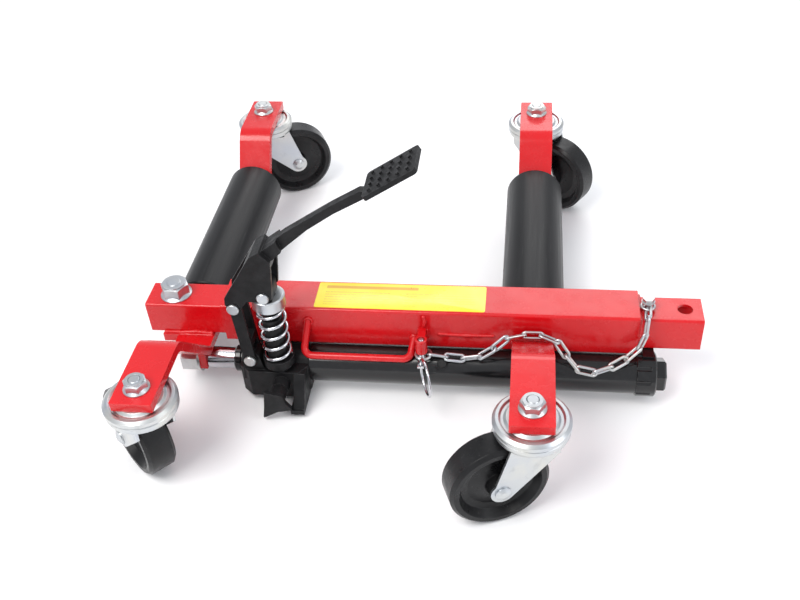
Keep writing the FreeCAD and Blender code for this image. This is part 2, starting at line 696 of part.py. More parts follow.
def pump_block():
    """The cast pump: ram head, plunger barrel, link ear, valve boss and foot."""
    body = new_body("pump_block")
    under = "rail_z-outer_size/2"
    head = sketch(body, "XY", "pump_bottom")
    outline(head, [("pump_left", "pump_back"), ("pump_left", "pump_front+10"),
                   ("pump_left+12", "pump_front"), ("ram_left-10", "pump_front"),
                   ("ram_left", "pump_front+14"), ("ram_left", "pump_back")])
    casting = pad(body, head, f"{under}-pump_bottom-10")
    casting = fillet(body, casting, "3", lambda edge: runs_along(edge, (0, 0, 1)))
    saddle = sketch(body, "XY", f"{under}-12")
    rectangle(saddle, "pump_left+4", "ram_y+5", "ram_left-6", "pump_back")
    pad(body, saddle, "12")
    neck = sketch(body, "YZ", "pump_left")
    circle(neck, "ram_y", "ram_z", "ram_radius-1")
    pad(body, neck, "ram_left-pump_left")
    barrel = sketch(body, "XY", "pump_bottom+10")
    circle(barrel, "plunger_x", "plunger_y", "barrel_radius")
    pad(body, barrel, "barrel_top-pump_bottom-10")
    collar = sketch(body, "XY", "spring_seat-10")
    circle(collar, "plunger_x", "plunger_y", "barrel_radius+5.7")
    pad(body, collar, "9.8")
    ear = sketch(body, "XZ", "-plunger_y")
    outline(ear, [("link_foot_x-13", "30"), ("link_foot_x+16", "30"), ("link_foot_x+9", "link_foot_z+2"),
                  ("link_foot_x+5", "link_foot_z+8"), ("link_foot_x-5", "link_foot_z+8"),
                  ("link_foot_x-9", "link_foot_z+2")])
    pad(body, ear, "2*(link_inside-0.4)", symmetric=True)
    boss = sketch(body, "XZ", "-pump_front-8")
    circle(boss, "valve_x", "valve_z", "9.5")
    pad(body, boss, "pump_front+8-valve_front")
    foot = sketch(body, "XY", "pump_bottom-4")
    rectangle(foot, "ram_left-17", "-88", "ram_left-2", "-40")
    pad(body, foot, "6")
    gusset = sketch(body, "YZ", "ram_left-14")
    outline(gusset, [("-86", "pump_bottom+1"), ("-45", "pump_bottom+1"), ("-45", "44"), ("-64", "44")])
    pad(body, gusset, "12")
    plunger_bore = sketch(body, "XY", "barrel_top")
    circle(plunger_bore, "plunger_x", "plunger_y", "plunger_radius+running_gap")
    pocket(body, plunger_bore, "barrel_top-22", symmetric=False)
    rod_bore = sketch(body, "YZ", "pump_left")
    circle(rod_bore, "ram_y", "ram_z", "rod_radius+0.5")
    pocket(body, rod_bore)
    pin_bore = sketch(body, "XZ")
    circle(pin_bore, "link_foot_x", "link_foot_z", "pedal_pin_radius+running_gap")
    pocket(body, pin_bore)
    valve_bore = sketch(body, "XZ", "-valve_front")
    circle(valve_bore, "valve_x", "valve_z", "4+running_gap")
    pocket(body, valve_bore, "16", symmetric=False)
    place(body, "rail_x", "rail_y", "0")


def cross_pin(label, x, z, half, head_radius):
    """A headed pin along Y through the pedal linkage."""
    pin = lathe(label, [
        ("0", f"-({half})-3"), (f"{head_radius}-1", f"-({half})-3"), (head_radius, f"-({half})-2"),
        (head_radius, f"-({half})"), ("pedal_pin_radius", f"-({half})"), ("pedal_pin_radius", half),
        (head_radius, half), (head_radius, f"({half})+2"), (f"{head_radius}-1", f"({half})+3"),
        ("0", f"({half})+3")])
    place(pin, "rail_x+" + x, "rail_y+plunger_y", z, (1, 0, 0), 90)


def pedal_link():
    """The forked link from the pump's ear to the heel of the pedal."""
    body = new_body("pedal_link")
    width = "2*(link_inside+link_plate)"
    side = sketch(body, "XZ", "-plunger_y")
    outline(side, [("link_foot_x-6.5", "link_foot_z"), ("link_foot_x+6.5", "link_foot_z"),
                   ("link_top_x+6.5", "link_top_z"), ("link_top_x-6.5", "link_top_z")])
    pad(body, side, width, symmetric=True)
    for x, z, radius in (("link_foot_x", "link_foot_z", "7.5"), ("link_top_x", "link_top_z", "8")):
        eye = sketch(body, "XZ", "-plunger_y")
        circle(eye, x, z, radius)
        pad(body, eye, width, symmetric=True)
    for low, high in (("link_foot_z-20", "link_foot_z+18"), ("link_foot_z+28", "link_top_z+20")):
        inside = sketch(body, "XZ", "-plunger_y")
        rectangle(inside, "link_top_x-30", low, "link_foot_x+30", high)
        pocket(body, inside, "2*link_inside")
    for x, z in (("link_foot_x", "link_foot_z"), ("link_top_x", "link_top_z")):
        hole = sketch(body, "XZ", "-plunger_y")
        circle(hole, x, z, "pedal_pin_radius+running_gap")
        pocket(body, hole)
    place(body, "rail_x", "rail_y", "0")


def pedal_lever():
    """The forked foot lever: two plates on the pins and a bar up to the tread."""
    body = new_body("pedal_lever")
    width = "2*(lever_inside+lever_plate)"
    side = sketch(body, "XZ", "-plunger_y")
    outline(side, [("113", "144"), ("114", "153"), ("148", "206"), ("158", "212"), ("169", "200"),
                   ("166", "168"), ("164", "153"), ("150", "149"), ("137", "149"), ("129", "139"),
                   ("124", "131")])
    pad(body, side, width, symmetric=True)
    for x, z in (("link_top_x", "link_top_z"), ("plunger_x", "plunger_pin_z")):
        eye = sketch(body, "XZ", "-plunger_y")
        circle(eye, x, z, "7.5")
        pad(body, eye, width, symmetric=True)
    inside = sketch(body, "XZ", "-plunger_y")
    rectangle(inside, "90", "110", "200", "192")
    pocket(body, inside, "2*lever_inside")
    root = sketch(body, "XZ", "-plunger_y")
    outline(root, [("150", "199"), ("157", "187"), ("172", "201.5"), ("180", "209"), ("176", "222"),
                   ("160", "210")])
    pad(body, root, "22", symmetric=True)
    arm = sketch(body, "XZ", "-plunger_y")
    outline(arm, [("150", "199"), ("157", "187"), ("184", "212"), ("208", "233"), ("236", "252.5"),
                  ("277", "276"), ("306", "294"), ("302", "298.2"), ("270.7", "278.3"), ("263", "278.5"),
                  ("235", "262"), ("206", "243"), ("184", "228.5"), ("160", "210")])
    pad(body, arm, "10", symmetric=True)
    hole = sketch(body, "XZ", "-plunger_y")
    circle(hole, "link_top_x", "link_top_z", "pedal_pin_radius+running_gap")
    pocket(body, hole)
    loose = sketch(body, "XZ", "-plunger_y")
    circle(loose, "plunger_x", "plunger_pin_z", "pedal_pin_radius+2.1")
    pocket(body, loose)
    place(body, "rail_x", "rail_y", "0")


def pedal_tread():
    """The foot plate, with rows of raised studs."""
    body = new_body("pedal_tread")
    plate = sketch(body, "XZ")
    outline(plate, [("0", "0"), ("60", "0"), ("60", "-5"), ("0", "-5")])
    slab = pad(body, plate, "44", symmetric=True)
    slab = fillet(body, slab, "4", lambda edge: runs_along(edge, (0, 0, 1)))
    studs = sketch(body, "XY")
    for column in range(5):
        for row in range(4):
            circle(studs, f"8+{column}*11", f"-15+{row}*10", "1.7")
    pad(body, studs, "2.2")
    place(body, "rail_x+268", "rail_y+plunger_y", "282.5", (0, 1, 0), -32.5)


def plunger():
    body = new_body("plunger")
    revolve(body, [("0", "plunger_foot"), ("plunger_radius-1", "plunger_foot"),
                   ("plunger_radius", "plunger_foot+1"), ("plunger_radius", "spring_top+3"),
                   ("0", "spring_top+3")])
    head = sketch(body, "XY", "spring_top+3")
    rectangle(head, "-8", "-lever_inside+0.5", "8", "lever_inside-0.5")
    block = pad(body, head, "16")
    top = number("spring_top+19")
    fillet(body, block, "5", lambda edge: runs_along(edge, (0, 1, 0)) and edge.CenterOfMass.z > top - 0.5)
    hole = sketch(body, "XZ")
    circle(hole, "0", "plunger_pin_z", "pedal_pin_radius")
    pocket(body, hole)
    place(body, "rail_x+plunger_x", "rail_y+plunger_y", "0")


def plunger_cup():
    cup = lathe("plunger_cup", [
        ("plunger_radius", "spring_top"), ("spring_radius+spring_wire+0.5", "spring_top"),
        ("spring_radius+spring_wire+0.5", "spring_top-11"),
        ("spring_radius+spring_wire+1.8", "spring_top-11"),
        ("spring_radius+spring_wire+1.8", "spring_top+1.5"),
        ("spring_radius+spring_wire+0.3", "spring_top+2.9"),
        ("plunger_radius", "spring_top+2.9")])
    place(cup, "rail_x+plunger_x", "rail_y+plunger_y", "0")


def return_spring():
    coil = doc.addObject("Part::Helix", "Coil")
    bind(coil, "Radius", "spring_radius")
    bind(coil, "Height", "spring_top-spring_seat-2*spring_wire-0.2")
    bind(coil, "Pitch", "(spring_top-spring_seat-2*spring_wire-0.2)/spring_turns")
    wire = doc.addObject("Part::Circle", "Wire")
    bind(wire, "Radius", "spring_wire")
    wire.Placement.Rotation = FreeCAD.Rotation(V(1, 0, 0), 90)
    bind(wire, "Placement.Base.x", "spring_radius")
    spring = doc.addObject("Part::Sweep", "Spring")
    spring.Label = "return_spring"
    spring.Sections = [wire]
    spring.Spine = (coil, ["Edge1"])
    spring.Solid = True
    spring.Frenet = True
    place(spring, "rail_x+plunger_x", "rail_y+plunger_y", "spring_seat+spring_wire+0.1")


def release_pedal():
    """The fan-shaped valve key that lowers the car, on its own stem."""
    body = new_body("release_pedal")
    stem = sketch(body, "XZ")
    circle(stem, "0", "0", "4")
    pad(body, stem, "14", reverse=True)
    hub = sketch(body, "XZ")
    circle(hub, "0", "0", "8.5")
    pad(body, hub, "18")
    fan = sketch(body, "XZ", "13")
    outline(fan, [("8", "8"), ("-12", "13"), ("-15", "-9"), ("-18", "-26"), ("0", "-15.5"),
                  ("16", "-12"), ("9", "-1")])
    leaf = pad(body, fan, "5")
    fillet(body, leaf, "1", lambda edge: runs_along(edge, (0, 1, 0)) and edge.CenterOfMass.z < -9.5)
    place(body, "rail_x+valve_x", "rail_y+valve_front-0.4", "valve_z")


# ---- handle, lock pin and chain -----------------------------------------------------------

def carry_handle():
    """A bent rod loop in front of the rail, its two ends turned in to the tube's face."""
    bend = number("handle_bend")
    face = number("-outer_size/2")
    corners = [V(number("handle_left+5"), face + 5.25, number("handle_top+7.5")),
               V(number("handle_left"), number("handle_y"), number("handle_bottom")),
               V(number("handle_right"), number("handle_y"), number("handle_bottom")),
               V(number("handle_right+3.75"), face + 5.25, number("handle_end+3"))]
    spine = rounded_path(corners, [0, bend, bend, 0])
    rod = rod_along(spine, number("handle_radius"))
    before_face = Part.makeBox(400, 60, 200, V(0, face - 60, 0))
    item = shape_piece("carry_handle", rod.common(before_face))
    place(item, "rail_x", "rail_y", "0")


def rounded_path(corners, radii):
    """A wire of straight runs with an arc at each inner corner."""
    edges = []
    start = corners[0]
    for index in range(1, len(corners) - 1):
        before = (corners[index - 1] - corners[index]).normalize()
        after = (corners[index + 1] - corners[index]).normalize()
        opening = before.getAngle(after)
        setback = radii[index] / math.tan(opening / 2)
        first = corners[index] + before * setback
        last = corners[index] + after * setback
        inward = (before + after).normalize()
        centre = corners[index] + inward * (radii[index] / math.sin(opening / 2))
        middle = centre - inward * radii[index]
        edges.append(Part.LineSegment(start, first).toShape())
        edges.append(Part.Arc(first, middle, last).toShape())
        start = last
    edges.append(Part.LineSegment(start, corners[-1]).toShape())
    return Part.Wire(edges)


def rod_along(spine, radius):
    edge = spine.Edges[0]
    start = edge.valueAt(edge.FirstParameter)
    ring = Part.Wire(Part.makeCircle(radius, start, edge.tangentAt(edge.FirstParameter)))
    return spine.makePipeShell([ring], True, True)


def pin_socket():
    """A short upright sleeve on a web welded to the rail's front face."""
    body = new_body("pin_socket")
    sleeve = sketch(body, "XY", "socket_bottom")
    circle(sleeve, "0", "0", "socket_radius")
    pad(body, sleeve, "socket_top-socket_bottom")
    web = sketch(body, "XY", "socket_bottom")
    rectangle(web, "-4", "0", "4", "-outer_size/2-pin_y")
    pad(body, web, "socket_top-socket_bottom")
    bore = sketch(body, "XY")
    circle(bore, "0", "0", "pin_radius+running_gap")
    pocket(body, bore)
    place(body, "rail_x+pin_x", "rail_y+pin_y", "0")


def lock_pin():
    """The parked lock pin: a shank in the socket, a round head and a tab for its ring."""
    body = new_body("lock_pin")
    revolve(body, [
        ("0", "54"), ("3.8", "54"), ("4.6", "54.8"), ("4.6", "59.6"), ("pin_radius", "60.2"),
        ("pin_radius", "socket_top-2"), ("pin_radius-1.5", "socket_top"), ("0", "socket_top")])
    tab = sketch(body, "XY", "55.2")
    rectangle(tab, "-3.6", "-tab_reach-3.4", "3.6", "0")
    pad(body, tab, "2.4")
    hole = sketch(body, "XY")
    circle(hole, "0", "-tab_reach", "ring_wire+0.6")
    pocket(body, hole)
    place(body, "rail_x+pin_x", "rail_y+pin_y", "0")


def pin_ring():
    """The pull ring, passed down through the hole in the tab."""
    turn = number("ring_turn")
    ring = doc.addObject("Part::Torus", "Ring")
    ring.Label = "pin_ring"
    bind(ring, "Radius1", "ring_radius")
    bind(ring, "Radius2", "ring_wire")
    upright = FreeCAD.Rotation(V(0, 0, 1), turn) * FreeCAD.Rotation(V(0, 1, 0), 90)
    ring.Placement = FreeCAD.Placement(V(0, 0, 0), upright)
    bind(ring, "Placement.Base.x", f"rail_x+pin_x+ring_radius*({math.sin(math.radians(turn))})")
    bind(ring, "Placement.Base.y",
         f"rail_y+pin_y-tab_reach-ring_radius*({math.cos(math.radians(turn))})")
    bind(ring, "Placement.Base.z", "56.4")


def chain_bolt():
    """The bolt and washer that hold the chain on the stub."""
    body = new_body("chain_bolt")
    flats = sketch(body, "XY", "9.6")
    hexagon(flats, "11")
    pad(body, flats, "4.4")
    revolve(body, [("0", "-6"), ("3", "-6"), ("3", "0"), ("4.8", "0"), ("4.8", "1.2"), ("3", "1.2"),
                   ("3", "9"), ("7", "9"), ("7", "10"), ("0", "10")])
    place(body, "rail_x+chain_x", "rail_y", "rail_z+inner_size/2")


def chain_link(start, end, twist):
    """One stadium-shaped link lying between two joints of the chain."""
    wire = number("link_wire")
    arc = number("link_width/2-link_wire")
    straight = number("(link_length-link_width)/2")
    corners = [V(-straight, -arc, 0), V(straight, -arc, 0), V(straight, arc, 0), V(-straight, arc, 0)]
    path = Part.Wire([
        Part.LineSegment(corners[0], corners[1]).toShape(),
        Part.Arc(corners[1], V(straight + arc, 0, 0), corners[2]).toShape(),
        Part.LineSegment(corners[2], corners[3]).toShape(),
        Part.Arc(corners[3], V(-straight - arc, 0, 0), corners[0]).toShape()])
    link = rod_along(path, wire)
    aim = FreeCAD.Rotation(V(1, 0, 0), end - start)
    roll = FreeCAD.Rotation(V(1, 0, 0), twist)
    link.Placement = FreeCAD.Placement((start + end) / 2, aim * roll)
    return link


def lock_chain():
    """The chain from the stub's bolt, over the bracket's root, to the lock pin."""
    wire = number("link_wire")
    pitch = number("link_length-4*link_wire-0.2")
    slack = number("eye_slack")
    reach = slack - 1.05 * wire
    bolt_eye = V(number("chain_x"), -slack, number("rail_z+inner_size/2+4.6"))
    pin_eye = V(number("pin_x") + slack, number("pin_y"), number("socket_bottom") - 4.2)
    start = bolt_eye + V(0, -number("bolt_eye") - reach + slack, 0.2)
    finish = pin_eye + V(number("pin_eye") + reach - slack, 0, 0.2)
    over_bracket = number("right_foot_z") + 14
    bracket = number("right_x")
    guide = Part.BSplineCurve()
    guide.interpolate([
        start, V(549, -18, 107), V(548, -27, 105.5), V(547, -33, 98), V(546, -34.5, 88),
        V(543, -35, 77), V(535, -38, 67), V(521, -44, 59), V(504, -51, 54), V(486, -53, 53),
        V(bracket + 41, -47, 61), V(bracket + 30, -38, 76), V(bracket + 17, -33, over_bracket),
        V(bracket, -33, over_bracket + 1), V(bracket - 16, -33.5, over_bracket + 1),
        V(bracket - 31, -37, over_bracket - 4), V(bracket - 44, -42, 68), V(366, -44, 59),
        V(344, -44, 59), finish])
    count = math.ceil(guide.length() / pitch)
    joints = guide.discretize(Number=count + 1)
    links = [Part.makeTorus(number("bolt_eye"), wire, bolt_eye),
             Part.makeTorus(number("pin_eye"), wire, pin_eye)]
    for index in range(count):
        links.append(chain_link(joints[index], joints[index + 1], 45 - 90 * (index % 2)))
    item = shape_piece("lock_chain", Part.makeCompound(links))
    place(item, "rail_x", "rail_y", "0")


# ---- assembly -----------------------------------------------------------------------------

CASTERS = [
    # name, station along the rail, swivel position, heading of the trailing wheel in degrees
    ("front_left", "left_x", "front_left_y", 136),
    ("front_right", "right_x", "front_right_y", 202),
    ("rear_left", "left_x", "rear_y", 24),
    ("rear_right", "right_x", "rear_y", -32),
]

outer_tube()
inner_tube()
end_stub()
front_bracket_left()
front_bracket_right()
for side, station, front_y, root in (("left", "left_x", "front_left_y", "inner_size/2"),
                                     ("right", "right_x", "front_right_y", "outer_size/2")):
    rear_bracket(side, station)
    roller(side, station, root)
    roller_shaft(side, station, root)
    caster_cups(side, station, front_y)
    caster_bolts(side, station, front_y)
    caster_nuts(side, station, front_y)
for name, station, seat_y, heading in CASTERS:
    caster(name, station, seat_y, heading)
rod_hanger()
anchor_bolt()
piston_rod()
ram_piston()
rod_nut()
gland_nut()
ram_cylinder()
ram_collar()
ram_end_plug()
ram_lug()
filler_plug()
pump_block()
cross_pin("link_foot_pin", "link_foot_x", "link_foot_z", "link_inside+link_plate+0.2", "6.5")
cross_pin("link_top_pin", "link_top_x", "link_top_z", "lever_inside+lever_plate+0.2", "6.5")
cross_pin("plunger_pin", "plunger_x", "plunger_pin_z", "lever_inside+lever_plate+0.2", "6.5")
pedal_link()
pedal_lever()
pedal_tread()
plunger()
plunger_cup()
return_spring()
release_pedal()
carry_handle()
pin_socket()
lock_pin()
pin_ring()
chain_bolt()
lock_chain()
doc.recompute()

PIECES = [
    "outer_tube", "end_stub", "front_bracket_right", "rear_bracket_right", "roller_shaft_right",
    "carry_handle", "ram_cylinder", "ram_collar", "ram_end_plug", "ram_lug", "pump_block",
    "gland_nut", "filler_plug", "link_foot_pin", "lock_chain", "chain_bolt", "pin_socket",
    "caster_bolts_right", "caster_nuts_right", "caster_cups_right",
    "inner_tube", "rod_hanger", "front_bracket_left", "rear_bracket_left", "roller_shaft_left",
    "piston_rod", "ram_piston", "rod_nut", "anchor_bolt",
    "caster_bolts_left", "caster_nuts_left", "caster_cups_left",
    "roller_left", "roller_bushes_left", "roller_right", "roller_bushes_right",
    "pedal_lever", "pedal_tread", "link_top_pin", "pedal_link", "plunger", "plunger_cup",
    "plunger_pin", "return_spring", "release_pedal", "lock_pin", "pin_ring",
] + [f"{kind}_{name}" for kind in ("fork", "axle", "wheel") for name, *rest in CASTERS]

for item in doc.Objects:
    if "Invalid" in item.State or "Error" in item.State:
        raise RuntimeError(f"{item.Label} did not build: {item.State}")

os.makedirs("parts", exist_ok=True)
for name in PIECES:
    piece = doc.getObjectsByLabel(name)[0]
    if piece.Shape.isNull() or not piece.Shape.isValid():
        raise RuntimeError(f"{name} has no valid shape")
    piece.Shape.exportStep(f"parts/{name}.step")
print(len(PIECES), "pieces written")
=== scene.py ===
import json
import math

import bmesh
import bpy
from mathutils import Matrix, Vector, noise


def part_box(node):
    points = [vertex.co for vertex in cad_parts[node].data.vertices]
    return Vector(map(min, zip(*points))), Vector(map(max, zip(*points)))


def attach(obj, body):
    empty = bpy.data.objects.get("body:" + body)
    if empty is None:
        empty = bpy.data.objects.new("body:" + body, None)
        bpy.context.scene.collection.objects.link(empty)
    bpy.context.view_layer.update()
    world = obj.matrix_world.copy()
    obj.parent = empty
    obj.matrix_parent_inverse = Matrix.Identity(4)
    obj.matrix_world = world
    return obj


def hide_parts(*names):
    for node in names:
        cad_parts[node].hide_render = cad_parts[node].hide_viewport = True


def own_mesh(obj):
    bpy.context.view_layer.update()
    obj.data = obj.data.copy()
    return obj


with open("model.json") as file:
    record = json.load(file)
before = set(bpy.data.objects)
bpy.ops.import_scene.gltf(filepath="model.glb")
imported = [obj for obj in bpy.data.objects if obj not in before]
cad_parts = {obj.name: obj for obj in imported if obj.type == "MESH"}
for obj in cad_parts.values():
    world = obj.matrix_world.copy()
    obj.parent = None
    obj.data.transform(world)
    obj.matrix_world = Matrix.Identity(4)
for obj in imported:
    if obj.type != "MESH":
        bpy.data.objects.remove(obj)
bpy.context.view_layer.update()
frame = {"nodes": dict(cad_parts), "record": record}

MM = 0.001
scene = bpy.context.scene

# ---- camera and light ---------------------------------------------------------------------

CAMERA_AT = Vector((122.9, -884.8, 765.2)) * MM
PITCH, YAW, ROLL = math.radians(39.52), math.radians(-9.33), math.radians(-4.21)
LENS, SENSOR, CLIP_START = 42.9, 36, 0.01
SKY_COLOUR, SKY_STRENGTH = (0.93, 0.95, 1.0, 1), 0.80
LIGHTS = [
    # name, place, aim, size (all in metres), power in watts, colour
    ("key", (-0.7, -0.9, 1.7), (0, 0, 0.05), (1.1, 0.9), 27, (1, 0.985, 0.96)),
    ("fill", (1.5, -0.7, 1.0), (0, 0, 0.05), (0.9, 1.2), 9, (0.95, 0.97, 1)),
    ("back", (0.2, 1.7, 1.3), (0, 0.1, 0.05), (1.8, 0.8), 13, (1, 1, 1)),
]


def make_camera():
    """The camera fitted to the photograph; PITCH is downwards, and a negative YAW looks left."""
    forward = Vector((math.sin(YAW) * math.cos(PITCH), math.cos(YAW) * math.cos(PITCH),
                      -math.sin(PITCH)))
    right = Vector((math.cos(YAW), -math.sin(YAW), 0))
    up = right.cross(forward)
    across = right * math.cos(ROLL) + up * math.sin(ROLL)
    upward = up * math.cos(ROLL) - right * math.sin(ROLL)
    turn = Matrix((across, upward, -forward)).transposed()
    data = bpy.data.cameras.new("camera")
    data.sensor_width = SENSOR
    data.lens = LENS
    data.clip_start = CLIP_START
    camera = bpy.data.objects.new("camera", data)
    camera.matrix_world = Matrix.Translation(CAMERA_AT) @ turn.to_4x4()
    scene.collection.objects.link(camera)
    scene.camera = camera


def area_light(name, place, aim, size, power, colour):
    """A soft rectangular lamp at a place, aimed at a point."""
    data = bpy.data.lights.new(name, "AREA")
    data.shape = "RECTANGLE"
    data.size, data.size_y = size
    data.energy = power
    data.color = colour
    light = bpy.data.objects.new(name, data)
    light.location = place
    light.rotation_euler = (Vector(aim) - Vector(place)).to_track_quat("-Z", "Y").to_euler()
    scene.collection.objects.link(light)


make_camera()
scene.view_settings.view_transform = "Standard"
scene.view_settings.look = "None"
world = bpy.data.worlds.new("studio")
world.use_nodes = True
sky = world.node_tree.nodes["Background"]
sky.inputs["Color"].default_value = SKY_COLOUR
sky.inputs["Strength"].default_value = SKY_STRENGTH
scene.world = world
for light_row in LIGHTS:
    area_light(*light_row)


# ---- materials ----------------------------------------------------------------------------

BEVEL_SAMPLES = 6
MIX_FIRST, MIX_SECOND, MIX_RESULT = 6, 7, 2     # a Mix node's colour sockets, by index
LINE_PITCH = 0.0042                             # from one row of the label's bars to the next
RED = (0.60, 0.004, 0.008)
LIGHT_RED = (0.62, 0.004, 0.008)
DEEP_RED = (0.53, 0.004, 0.007)
RED_SPECK = (0.36, 0.008, 0.010)
# lighter red for the paint's edges: partly worn thin paint, partly a painted highlight
WORN_AND_HIGHLIGHT_RED = (0.80, 0.05, 0.045)
BLACK = (0.008, 0.008, 0.009)
DEEP_BLACK = (0.005, 0.005, 0.0055)
STREAK = (0.016, 0.016, 0.017)
SCRATCH = (0.07, 0.07, 0.07)
DUST = (0.040, 0.040, 0.042)
DARK_MOTTLE = (0.006, 0.006, 0.0065)
PALE_MOTTLE = (0.014, 0.014, 0.015)
WORN_IRON = (0.10, 0.10, 0.105)
SCUFF = (0.13, 0.13, 0.13)
ZINC = (0.74, 0.75, 0.77)
BLUE_ZINC = (0.50, 0.53, 0.57)
YELLOW_ZINC = (0.60, 0.60, 0.57)
STAINED_ZINC = (0.34, 0.35, 0.36)
YELLOW = (0.93, 0.74, 0.03)
FILM_YELLOW = (0.93, 0.72, 0.025)
FADED_YELLOW = (0.90, 0.78, 0.06)
BAR_INK = (0.42, 0.22, 0.03)
BAND_INK = (0.60, 0.10, 0.03)
FLOOR = (0.93, 0.93, 0.93)
FLOOR_SHADE = (0.92, 0.92, 0.925)
FLOOR_LIGHT = (0.94, 0.94, 0.94)
CHROME = (0.62, 0.63, 0.66)
NYLON = (0.028, 0.028, 0.028)
STEEL = (0.48, 0.48, 0.49)


class Paint:
    """A material built from procedural nodes, in the piece's own coordinates, in metres."""

    def __init__(self, name, colour, roughness, metallic=0.0):
        self.material = bpy.data.materials.new(name)
        self.material.use_nodes = True
        self.tree = self.material.node_tree
        self.shader = self.tree.nodes["Principled BSDF"]
        self.set("Base Color", (*colour, 1))
        self.set("Roughness", roughness)
        self.set("Metallic", metallic)
        self.coords = self.node("ShaderNodeTexCoord").outputs["Object"]
        self.normal = None

    def node(self, kind, **settings):
        item = self.tree.nodes.new(kind)
        for key, value in settings.items():
            setattr(item, key, value)
        return item

    def set(self, socket, value):
        self.shader.inputs[socket].default_value = value

    def feed(self, socket, source):
        """A number stays on the socket, and an output is linked to it."""
        if isinstance(source, bpy.types.NodeSocket):
            self.tree.links.new(source, socket)
        else:
            socket.default_value = source

    def stretched(self, scale, turn=(0, 0, 0)):
        mapping = self.node("ShaderNodeMapping")
        self.feed(mapping.inputs["Vector"], self.coords)
        mapping.inputs["Scale"].default_value = scale
        mapping.inputs["Rotation"].default_value = turn
        return mapping.outputs["Vector"]

    def noise(self, scale, detail=4.0, roughness=0.5, vector=None, distortion=0.0):
        item = self.node("ShaderNodeTexNoise")
        self.feed(item.inputs["Vector"], vector or self.coords)
        item.inputs["Scale"].default_value = scale
        item.inputs["Detail"].default_value = detail
        item.inputs["Roughness"].default_value = roughness
        item.inputs["Distortion"].default_value = distortion
        return item.outputs["Fac"]

    def level(self, source, low, high, bottom=0.0, top=1.0):
        """source taken from low..high to bottom..top, and held there."""
        item = self.node("ShaderNodeMapRange")
        self.feed(item.inputs["Value"], source)
        for key, value in (("From Min", low), ("From Max", high),
                           ("To Min", bottom), ("To Max", top)):
            item.inputs[key].default_value = value
        return item.outputs["Result"]

    def sum(self, operation, first, second):
        item = self.node("ShaderNodeMath", operation=operation)
        self.feed(item.inputs[0], first)
        self.feed(item.inputs[1], second)
        return item.outputs[0]

    def mix(self, amount, first, second):
        item = self.node("ShaderNodeMix", data_type="RGBA")
        self.feed(item.inputs["Factor"], amount)
        for index, source in ((MIX_FIRST, first), (MIX_SECOND, second)):
            linked = isinstance(source, bpy.types.NodeSocket)
            self.feed(item.inputs[index], source if linked else (*source, 1))
        return item.outputs[MIX_RESULT]

    def edges(self, radius, low, high):
        """1 on sharp outer and inner edges, 0 on faces."""
        bevel = self.node("ShaderNodeBevel", samples=BEVEL_SAMPLES)
        bevel.inputs["Radius"].default_value = radius
        face = self.node("ShaderNodeNewGeometry")
        meet = self.node("ShaderNodeVectorMath", operation="DOT_PRODUCT")
        self.feed(meet.inputs[0], bevel.outputs["Normal"])
        self.feed(meet.inputs[1], face.outputs["Normal"])
        return self.level(meet.outputs["Value"], high, low)

    def round_edges(self, radius):
        bevel = self.node("ShaderNodeBevel", samples=BEVEL_SAMPLES)
        bevel.inputs["Radius"].default_value = radius
        self.normal = bevel.outputs["Normal"]

    def bump(self, height, distance):
        """Relief of up to distance metres, on top of what the normal already holds."""
        item = self.node("ShaderNodeBump")
        item.inputs["Distance"].default_value = distance
        self.feed(item.inputs["Height"], height)
        if self.normal:
            self.feed(item.inputs["Normal"], self.normal)
        self.normal = item.outputs["Normal"]

    def colour(self, source):
        self.feed(self.shader.inputs["Base Color"], source)

    def roughness(self, source):
        self.feed(self.shader.inputs["Roughness"], source)

    def done(self):
        if self.normal:
            self.feed(self.shader.inputs["Normal"], self.normal)
        return self.material


def red_paint(name, lumps=0.0):
    paint = Paint(name, RED, 0.27)
    paint.set("Coat Weight", 0.22)
    paint.set("Specular IOR Level", 0.38)
    paint.set("Coat Roughness", 0.12)
    patches = paint.level(paint.noise(9, 5), 0.35, 0.7)
    base = paint.mix(patches, LIGHT_RED, DEEP_RED)
    specks = paint.level(paint.noise(520, 2, 0.6), 0.70, 0.78)
    base = paint.mix(paint.sum("MULTIPLY", specks, 0.35), base, RED_SPECK)
    # edges lightened towards a pale red: partly worn paint, partly a painted highlight on the edges
    paint.colour(paint.mix(paint.sum("MULTIPLY", paint.edges(0.0011, 0.90, 0.995), 0.32), base,
                           WORN_AND_HIGHLIGHT_RED))
    paint.roughness(paint.level(paint.noise(60, 6, 0.6), 0.3, 0.75, 0.17, 0.36))
    paint.round_edges(0.0009)
    paint.bump(paint.noise(330, 2, 0.45), 0.00006)
    paint.bump(paint.noise(28, 3), 0.00035)
    if lumps:
        paint.bump(paint.noise(700, 3, 0.6), lumps)
    return paint.done()


def roller_paint():
    paint = Paint("roller_black", BLACK, 0.38)
    paint.set("Specular IOR Level", 0.20)
    streaks = paint.noise(1.0, 6, 0.62, paint.stretched((260, 9, 260)))
    fine = paint.noise(1.0, 4, 0.6, paint.stretched((900, 30, 900)))
    base = paint.mix(paint.level(streaks, 0.42, 0.72), DEEP_BLACK, STREAK)
    paint.colour(paint.mix(paint.sum("MULTIPLY", paint.level(fine, 0.62, 0.75), 0.25), base,
                           SCRATCH))
    paint.roughness(paint.level(streaks, 0.3, 0.8, 0.29, 0.52))
    paint.round_edges(0.0006)
    paint.bump(paint.noise(420, 2), 0.00005)
    paint.bump(streaks, 0.00006)
    return paint.done()


